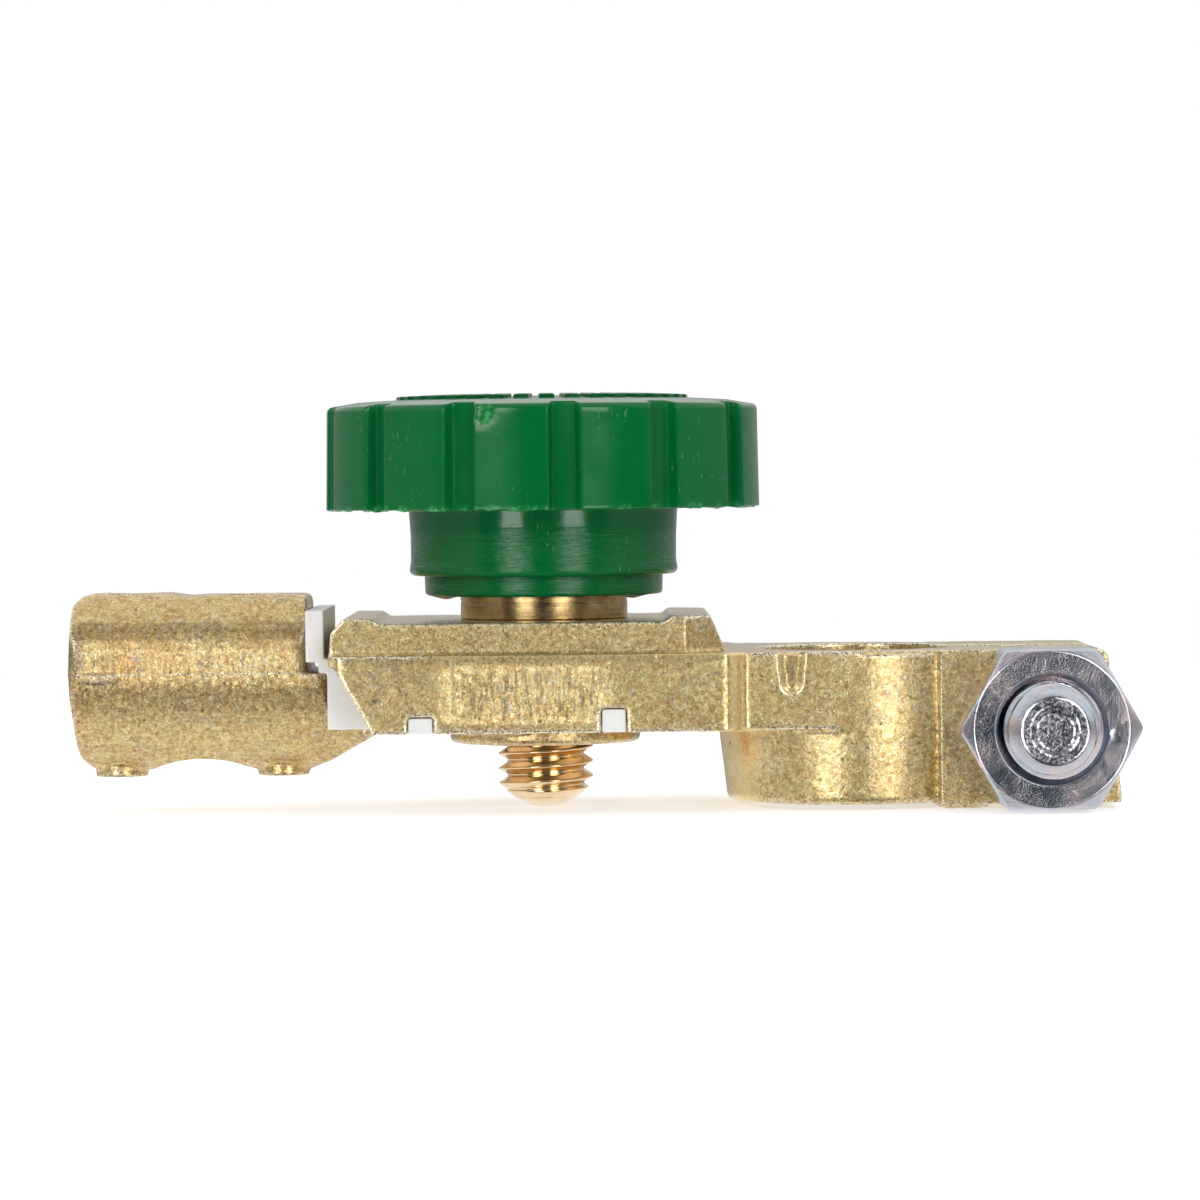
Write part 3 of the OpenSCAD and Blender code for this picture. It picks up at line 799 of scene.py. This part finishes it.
def make_stud():
    """The stud: up to the shank, its radius is the smaller of the thread's and the dome's. The
    dome is a sphere up to its middle, and as wide as that above it."""
    columns = 96
    theta = angles(columns)[None, :]
    tip, top = float(stud_low[2]), float(stud_high[2])
    head_z, head_r, dome_r, thread_end = 21.0, 7.0, 4.9, 14.0
    z = np.concatenate([tip + 1.4 * np.linspace(0.002, 1, 16) ** 2,
                        np.arange(tip + 1.46, thread_end, 0.07)])
    z = z[:, None]
    below = np.clip(tip + dome_r - z, 0, dome_r)
    dome = np.sqrt(dome_r ** 2 - below ** 2)
    turned = thread_radius(theta, z, THREAD_R - 0.02, PITCH, start=0.37)
    threaded = np.minimum(turned, dome)
    shank = rounded_path([(THREAD_R - 0.02, thread_end), (THREAD_R - 0.02, head_z),
                          (head_r, head_z), (head_r, top), (0.05, top)],
                         [0, 0.1, 0.3, 0.3, 0], step=0.5)
    radius = np.vstack([threaded, all_round(shank[:, :1], columns)])
    height = np.vstack([z, shank[:, 1:]])
    return surface("threaded_stud_turned", at_stud(round_grid(radius, height, theta)))


def make_collar():
    """The collar: a ring's outline with a bell-shaped groove and a ripple left by the tool."""
    low, high = float(collar_low[2]), float(collar_high[2])
    bore = THREAD_R + 0.05
    outline = rounded_path([(bore, low + 0.3), (bore + 0.3, low), (COLLAR_R, low),
                            (COLLAR_R, high), (bore, high), (bore, low + 0.35)],
                           [0, 0.02, 0.12, 0.12, 0.02, 0], step=0.15)
    along = np.stack([outline[:, 1], outline[:, 0], 0 * outline[:, 0]], 1)
    ripple = 0.012 * lattice_noise(along, 0.2, 5)
    groove = 0.05 * np.exp(-((outline[:, 1] - low - 1.5) / 0.08) ** 2) * (outline[:, 0] > 6.5)
    radius = outline[:, :1] - np.abs(ripple[:, None]) - groove[:, None]
    return surface("contact_collar_turned",
                   at_stud(round_grid(radius, outline[:, 1:], angles(128)[None, :])), wrap_rows=True)


finish_piece(make_stud(), STUD_BRASS, "knob", "turned_brass", "threaded_stud")
finish_piece(make_collar(), COLLAR_BRASS, "collar", "turned_brass", "contact_collar")

# %% [markdown]
# ## The knob
# The knob is one moulding: a stepped ring, a neck, and a wide grip with thirteen lobes. Its
# outline is rounded corner by corner, and the grooves between the lobes pull the radius in near
# the rim only, so that the rounded edges follow each groove in and out. Cutting the grooves with a
# boolean would leave them with razor edges. A plain ring of raised marks stands on the top, as
# boxes with a live bevel. Thin flash is left along the grip's lower edge.

# %% Knob
LOBES = 13
LOBE_TURN = math.radians(-97.5)
MARKS = 36
GRIP_R = 18.18
WALL_R = GRIP_R - 0.14
GROOVE_DEPTH = 1.1
GRIP_Z = 24.6
TOP_Z = 34.0
TOP_R = 15.6


def knob_angles():
    """The columns' angles: the same fine steps about each groove, closest at its two walls."""
    half = np.array([0, 0.5, 0.85, 0.98, 1.08, 1.17, 1.26, 1.36, 1.5, 1.75, 2.1, 2.55, 3.05,
                     3.6, 4.12])
    step = np.concatenate([-half[:0:-1], half]) / 18.2
    lobe = 2 * np.pi / LOBES
    return (LOBE_TURN + (np.arange(LOBES)[:, None] + 0.5) * lobe + step).reshape(-1)


def groove_depth(theta):
    """How deep the channel is at an angle: 1.1 mm between its walls, and 0 on a lobe."""
    spacing = 2 * np.pi / LOBES
    away = np.abs((theta - LOBE_TURN) / spacing % 1.0 - 0.5) * spacing * 18.2
    return GROOVE_DEPTH * smooth_step((1.36 - away) / 0.4)


def near_plan(grid, x, y, size):
    """A round bump of the given size about the point (x, y) in plan, 1 in its middle."""
    return np.exp(-((grid[..., 0] - x) ** 2 + (grid[..., 1] - y) ** 2) / size ** 2)


def knob_top(radius):
    """The height of the slightly domed top: it falls with the square of the radius."""
    return TOP_Z - 0.48 * (radius / TOP_R) ** 2


def make_marks():
    """A ring of raised bars on the knob's top, each one a box that sinks a little into it."""
    x, y, z = np.meshgrid([9.8, 12.2], [-0.62, 0.62], [-0.3, 0.28], indexing="ij")
    corners = np.stack([x, y, z + knob_top(x)], axis=-1).reshape(-1, 3)
    turn = (angles(MARKS) + LOBE_TURN)[:, None]
    points = np.stack([corners[:, 0] * np.cos(turn) - corners[:, 1] * np.sin(turn),
                       corners[:, 0] * np.sin(turn) + corners[:, 1] * np.cos(turn),
                       np.broadcast_to(corners[:, 2], (MARKS, 8))], axis=-1)
    faces = np.array([[0, 1, 3, 2], [4, 6, 7, 5], [0, 4, 5, 1], [2, 3, 7, 6], [0, 2, 6, 4],
                      [1, 5, 7, 3]])
    all_faces = (faces[None] + 8 * np.arange(MARKS)[:, None, None]).reshape(-1, 4)
    mesh = bpy.data.meshes.new("knob_marks")
    mesh.from_pydata((at_stud(points.reshape(-1, 3)) * MM).tolist(), [], all_faces.tolist())
    piece = bpy.data.objects.new("knob_marks", mesh)
    bpy.context.collection.objects.link(piece)
    bevel = piece.modifiers.new("bevel", "BEVEL")
    bevel.width, bevel.segments = 0.1 * MM, 2
    print("knob_marks", MARKS, "bars")
    return piece


def knob_outline():
    """The knob's outline, from the hollow inside it, round the ring and the neck, to the top."""
    base, grip_z, rim_z = float(collar_low[2]) + 2.0, GRIP_Z, 33.1
    sides = rounded_path([(0.05, 27), (7.0, 27), (7.0, 21), (4.0, 21), (4.0, 19.68), (7.08, 19.68),
                          (7.08, base), (9.95, base), (10.0, 19.05), (11.35, 19.0), (11.15, 20.2),
                          (11.15, 22.3), (11.29, grip_z), (GRIP_R, grip_z), (WALL_R, rim_z),
                          (TOP_R, rim_z + 0.42)],
                         [0, 0.2, 0.2, 0.1, 0.1, 0.1, 0.15, 0.3, 0.12, 0.6, 0.8, 4.0, 0.15, 0.12,
                          0.5, 0], step=0.34, arc_steps=5)
    top_r = np.linspace(TOP_R, 0.05, 30)[1:]
    return np.vstack([sides, np.stack([top_r, knob_top(top_r)], axis=1)])


def make_knob():
    """The knob: where the outline reaches past the groove's floor, it is pulled back to it. Then
    bell curves lower two nibs under the ring and press a dent into one lobe's upper edge, and
    noise hangs the flash below the grip."""
    theta = knob_angles()[None, :]
    outline = knob_outline()
    radius, height = outline[:, :1], outline[:, 1:]
    over = np.clip(radius - (WALL_R - groove_depth(theta)), 0, None)
    radius = radius - over * (0.96 * smooth_step(groove_depth(theta) / 0.2))
    grid = round_grid(radius, height, theta)
    reach = np.hypot(grid[..., 0], grid[..., 1])
    foot = smooth_step((18.2 - grid[..., 2]) / 0.6) * (reach > 7.2)
    nibs = near_plan(grid, -8.1, -3.4, 0.8) + near_plan(grid, 7.4, -4.8, 0.8)
    grid[..., 2] -= 0.28 * foot * nibs
    flat = grid.reshape(-1, 3)
    reach = np.hypot(flat[:, 0], flat[:, 1])
    ragged = np.exp(-((flat[:, 2] - GRIP_Z) / 0.25) ** 2) * (reach > 16.4)
    flash = np.clip(lattice_noise(flat * [1, 1, 0.2], 0.8, 21) - 0.1, 0, 1)
    flat[:, 2] -= ragged * flash * 0.22
    dent_turn = math.radians(-15.6)
    dent_at = np.array([GRIP_R * math.sin(dent_turn), -GRIP_R * math.cos(dent_turn), 32.6])
    dent_far = np.linalg.norm(flat - dent_at, axis=1)
    dent = np.exp(-(dent_far / 0.75) ** 2)
    inward = np.abs(lattice_noise(flat, 5.0, 22)) * 0.05 + 0.35 * dent
    outward = np.stack([flat[:, 0], flat[:, 1], 0 * reach], axis=1) / np.maximum(reach, 1)[:, None]
    flat = flat - outward * (inward * (reach > 11) * (flat[:, 2] > 19.1))[:, None]
    piece = surface("knob_moulding", at_stud(flat.reshape(grid.shape)))
    dent_edge = np.exp(-((dent_far - 0.9) / 0.25) ** 2)
    torn = np.clip(ragged * flash * 2.5 + dent_edge * 0.7 + dent * 0.5, 0, 1)
    streaked = window(flat[:, 2], 17.0, 22.8, 0.8) * (reach < 12)
    ends = np.zeros(len(piece.data.vertices) - len(flat))
    add_attribute(piece.data, "torn", np.concatenate([torn, ends]))
    add_attribute(piece.data, "streaked", np.concatenate([streaked, ends]))
    return piece


finish_piece(make_knob(), GREEN_PLASTIC, "knob", "green_plastic", "knob")
finish_piece(make_marks(), GREEN_PLASTIC, "knob", "green_plastic")

# %% [markdown]
# ## Clamp bolt, nut and cable screws
# A hexagon is a radius that depends on the angle: half the width across the flats over the
# cosine of the angle from the nearest flat's middle. The smaller of that and a cone gives the
# bevelled corners of a head or nut. The nut's grid closes through its hole, where the
# radius follows the same thread as the bolt. A hexagonal cylinder with a bevel would be quicker,
# but it has neither the curved edges of the chamfer nor a thread that meets the bolt's.

# %% Bolt, nut and screws
HEAD_AF = 12.0
NUT_AF = 13.0
BOLT_R = THREAD_R - 0.04
CHAMFER = 1.73
BOLT_COLUMNS = 144
SCREW_COLUMNS = 96


def hexagon_radius(theta, across_flats, corner_cut=0.12):
    """A hexagon's radius: half the width over the cosine of the angle from the nearest flat's
    middle, with the first corner on the X axis and every corner slightly blunt."""
    sixth = np.pi / 3
    sharp = across_flats / 2 / np.cos(theta % sixth - sixth / 2)
    return np.minimum(sharp, across_flats / 2 / math.cos(sixth / 2) - corner_cut)


def along_bolt(grid, start):
    """A grid about Z, laid along -Y from the given Y and moved to the bolt's axis."""
    return np.stack([grid[..., 0] + BOLT_X, start - grid[..., 2], grid[..., 1] + BOLT_Z], axis=-1)


def make_bolt():
    """The bolt, in rows from its head's outer face: a dished face, a hexagon cut by a cone, the
    washer face, a plain shank, the thread, and an end with a cone and a sheared middle."""
    theta = angles(BOLT_COLUMNS)[None, :]
    head_y, ear_y, end_y = float(bolt_high[1]), -float(nut_high[1]), float(bolt_low[1])
    head_h, length = head_y - ear_y, ear_y - end_y
    half, thread_start = HEAD_AF / 2, 8
    face_r = (half - 0.3) * np.linspace(0.01, 1, 24)[:, None]
    dish = 0.12 * np.clip((4.4 - face_r) / 0.5, 0, 1)
    side_z = np.concatenate([np.linspace(0.02, 1.1, 12), np.linspace(1.3, head_h - 0.3, 8)])[:, None]
    side_r = np.minimum(hexagon_radius(theta, HEAD_AF), half - 0.2 + side_z * CHAMFER)
    under_r = np.concatenate([hexagon_radius(theta, HEAD_AF) - 0.02,
                              np.full((1, BOLT_COLUMNS), half - 0.4),
                              np.full((1, BOLT_COLUMNS), 4.2)])
    under_z = np.array([[head_h - 0.02], [head_h], [head_h]])
    shank_z = np.concatenate([np.arange(0.1, thread_start, 0.4),
                              np.arange(thread_start, length - 0.9, 0.07)])[:, None]
    fade = np.clip((shank_z - thread_start) / 1.5, 0, 1)
    shank_r = thread_radius(theta, shank_z, BOLT_R, PITCH, fade)
    end_r = np.linspace(1, 0.002, 26)[:, None]
    cone_z = length - 0.95 + 0.95 * np.clip((1 - end_r) / 0.32, 0, 1) ** 0.8
    cone_r = np.minimum(thread_radius(theta, cone_z, BOLT_R, PITCH), end_r * BOLT_R + 0 * theta)
    cup = 0.25 * np.clip((0.5 - end_r) / 0.12, 0, 1)
    radius = np.vstack([all_round(face_r, BOLT_COLUMNS), side_r, under_r, shank_r, cone_r])
    height = all_round(np.vstack([dish, side_z, under_z, head_h + shank_z, head_h + cone_z - cup]),
                       BOLT_COLUMNS)
    piece = surface("clamp_bolt_threaded", along_bolt(round_grid(radius, height, theta), head_y))
    sheared = np.zeros(radius.shape)
    sheared[-len(end_r):] = end_r < 0.66
    add_attribute(piece.data, "rough", np.concatenate([sheared.reshape(-1), [0, 1]]))
    return piece


def make_nut():
    """The nut, in rows from its mouth by the ear: that face, a hexagon cut by two cones, the
    outer face with its dimple, the other mouth, and back through the threaded bore."""
    theta = angles(BOLT_COLUMNS)[None, :]
    start, depth = float(nut_high[1]), float(nut_high[1] - nut_low[1])
    face_r, mouth = 6.3, np.linspace(0, 1, 6)[:, None]
    side = np.concatenate([np.linspace(0.02, 1.1, 10), np.linspace(1.3, depth - 1.3, 10),
                           np.linspace(depth - 1.1, depth - 0.02, 12)])[:, None]
    cone = np.minimum(face_r + (depth - side) * CHAMFER, face_r + side * CHAMFER)
    side_r = np.minimum(hexagon_radius(theta, NUT_AF), cone)
    face = np.linspace(face_r - 0.02, 4.62, 22)[:, None]
    bore_z = np.arange(depth - 0.55, 0.5, -0.08)[:, None]
    bore_r = thread_radius(theta, bore_z, THREAD_R + 0.06, PITCH)
    radius = np.vstack([all_round(np.vstack([4.0 + 0.5 * mouth, face[::-1]]), BOLT_COLUMNS), side_r,
                        all_round(np.vstack([face, 4.55 - 0.5 * mouth]), BOLT_COLUMNS), bore_r])
    height = all_round(np.vstack([0.5 - 0.5 * mouth, 0 * face, side, depth + 0 * face,
                                  depth - 0.03 - 0.5 * mouth, bore_z]), BOLT_COLUMNS)
    grid = round_grid(radius, height, theta)
    dimple = np.hypot(grid[..., 0] - 5.1, grid[..., 1] + 0.45) / 0.5
    on_face = grid[..., 2] > depth - 0.01
    grid[..., 2] -= 0.05 * smooth_step(1.3 * (1.1 - dimple)) * on_face
    return surface("clamp_nut_threaded", along_bolt(grid, start), wrap_rows=True)


def make_cable_screw(node_name):
    """A set screw, in rows from its flat point: the thread, the rounded rim, and a hexagon
    socket with a conical floor."""
    low, high = box_mm(node_name)
    length, outer_r = float(high[2] - low[2]), float(high[0] - low[0]) / 2
    theta = angles(SCREW_COLUMNS)[None, :]
    z = np.arange(0.5, length - 0.3, 0.06)[:, None]
    thread_r = thread_radius(theta, z, outer_r - 0.02, 1.0)
    point = rounded_path([(0.02, 0), (outer_r - 0.7, 0), (outer_r - 0.2, 0.5)], [0, 0.1, 0])
    rim = rounded_path([(outer_r - 0.1, length - 0.28), (outer_r - 0.35, length), (2.0, length)],
                       [0, 0.1, 0], step=0.2)
    socket_r = hexagon_radius(theta, 3.0, 0.05)
    socket = np.vstack([socket_r + 0.1, socket_r, socket_r, socket_r * 0.5, socket_r * 0.02])
    socket_z = length - np.array([[0], [0.1], [2.0], [2.3], [2.5]])
    radius = np.vstack([all_round(point[:, :1], SCREW_COLUMNS), thread_r,
                        all_round(rim[:, :1], SCREW_COLUMNS), socket])
    height = all_round(np.vstack([point[:, 1:], z, rim[:, 1:], socket_z]), SCREW_COLUMNS)
    centre = np.array([(low[0] + high[0]) / 2, (low[1] + high[1]) / 2, low[2]])
    return surface(node_name + "_threaded", round_grid(radius, height, theta) + centre)


finish_piece(make_bolt(), ZINC_STEEL, "bolt", "zinc_steel", "clamp_bolt")
finish_piece(make_nut(), ZINC_STEEL, "nut", "zinc_steel", "clamp_nut")
for which in ["outer", "inner"]:
    screw = make_cable_screw("cable_screw_" + which)
    finish_piece(screw, ZINC_STEEL, "screw_" + which, "zinc_steel", "cable_screw_" + which)

# %% [markdown]
# ## Camera
# The camera stands almost level with the part, 1.5 degrees above it, with a long lens, so that
# the castings show almost without perspective. A camera looks along its own -Z, so it is tilted
# up by a right angle less that elevation, and then rolled a little.

# %% Camera
look_at = np.array([-21.3, 0.0, 16.8]) * MM
distance, elevation, roll = 0.420, math.radians(1.5), math.radians(0.6)
camera_data = bpy.data.cameras.new("camera")
camera_data.sensor_width, camera_data.lens = 36.0, 150.0
camera_data.clip_start = 0.01
camera = bpy.data.objects.new("camera", camera_data)
bpy.context.collection.objects.link(camera)
camera.location = look_at + distance * np.array([0, -math.cos(elevation), math.sin(elevation)])
camera.rotation_mode = "XYZ"
camera.rotation_euler = (math.pi / 2 - elevation, 0, 0)
camera.rotation_euler.rotate_axis("Z", -roll)
bpy.context.scene.camera = camera
print("camera at", tuple(round(v, 4) for v in camera.location))

# %% [markdown]
# ## Floor
# The floor is a disc of white paper. It glows a little, so that it stays as pale as the backdrop,
# and glossy pieces don't see it, because the tent below already lights their undersides. A huge
# plane would do too, but its edge would show in a low view.

# %% Floor
def make_floor():
    """A flat disc under the part: five rings, from the top's middle round the rim and back."""
    level, thickness, floor_r = float(cad_box[0][2]) / MM - 0.01, 10, 300.0
    radius = np.array([[1.0], [100.0], [floor_r], [floor_r + 2], [1.0]])
    height = level - np.array([[0], [0], [0], [thickness], [thickness]])
    floor = surface("floor", round_grid(radius[::-1], height[::-1], angles(96)[None, :]))
    material, _, shader = new_material("floor_paper")
    shader.inputs["Base Color"].default_value = (0.9, 0.9, 0.9, 1)
    shader.inputs["Roughness"].default_value = 0.9
    shader.inputs["Emission Color"].default_value = (1, 1, 1, 1)
    shader.inputs["Emission Strength"].default_value = 0.45
    floor.data.materials.append(material)
    floor.visible_glossy = False


make_floor()

# %% [markdown]
# ## Two soft boxes
# A soft box stands on either side of the camera and a little above it. On every round piece the
# pair draws twin upright highlights, and between them the piece mirrors the dark behind the
# camera. One large light would be brighter and flatter, and the brass would look like plaster.

# %% Lights
BOX_DISTANCE, BOX_WIDTH, BOX_HEIGHT, BOX_WATTS = 0.75, 0.24, 0.29, 1.42


def soft_box(name, azimuth, elevation):
    """An area light that faces the part from a direction: azimuth 0 is the camera's side."""
    data = bpy.data.lights.new(name, "AREA")
    data.shape, data.size, data.size_y = "RECTANGLE", BOX_WIDTH, BOX_HEIGHT
    data.energy = BOX_WATTS
    light = bpy.data.objects.new(name, data)
    bpy.context.collection.objects.link(light)
    a, e = math.radians(azimuth), math.radians(elevation)
    direction = np.array([math.sin(a) * math.cos(e), -math.cos(a) * math.cos(e), math.sin(e)])
    light.location = look_at + BOX_DISTANCE * direction
    light.rotation_mode = "QUATERNION"
    light.rotation_quaternion = Vector(direction).to_track_quat("Z", "Y")
    print(name, "at", tuple(round(v, 3) for v in light.location))


soft_box("box_left", -26, 17)
soft_box("box_right", 26, 17)

# %% [markdown]
# ## The tent
# Metal looks like what it mirrors, so the rest of the studio matters as much as the lights. It is
# made in the world's shader, from the direction that a ray leaves in, which is cheaper than
# walls of card: dark about the camera, dimmer along the horizon, and bright elsewhere.

# %% Tent
def make_tent():
    """The studio round the part, from a ray's direction. Its -Y share makes the dark round the
    camera, and its height the dim horizon. The ratio of X to -Y and the depth below the horizon
    mark out the two soft boxes again, as a glossy table would mirror them."""
    world = bpy.data.worlds.new("tent")
    bpy.context.scene.world = world
    world.use_nodes = True
    sky = world.node_tree
    parts = sky.nodes.new("ShaderNodeSeparateXYZ")
    sky.links.new(sky.nodes.new("ShaderNodeTexCoord").outputs["Generated"], parts.inputs[0])
    ahead = math_node(sky, "MULTIPLY", parts.outputs["Y"], -1.0)
    level = math_node(sky, "ABSOLUTE", parts.outputs["Z"])
    round_about = ramp_node(sky, ahead, [(0.48, 1.0), (0.58, 0.1)])
    shade = times(sky, round_about, ramp_node(sky, level, [(0.08, 0.38), (0.3, 1.0)]))
    sideways = math_node(sky, "DIVIDE", math_node(sky, "ABSOLUTE", parts.outputs["X"]), ahead)
    across = ramp_node(sky, sideways, [(0.29, 0.0), (0.32, 1.0), (0.68, 1.0), (0.72, 0.0)])
    below = ramp_node(sky, math_node(sky, "MULTIPLY", parts.outputs["Z"], -1.0),
                      [(0.06, 0.0), (0.09, 1.0), (0.24, 1.0), (0.34, 0.0)])
    mirrored = times(sky, times(sky, across, below), 9.0)
    lit = math_node(sky, "ADD", shade, mirrored)
    seen = sky.nodes.new("ShaderNodeLightPath").outputs["Is Camera Ray"]
    background = sky.nodes["Background"]
    sky.links.new(mix_colour(sky, seen, lit, (1.0, 1.0, 1.0)), background.inputs["Color"])


make_tent()
bpy.context.scene.view_settings.view_transform = "Standard"
print("tent:", len(bpy.context.scene.world.node_tree.nodes), "nodes")
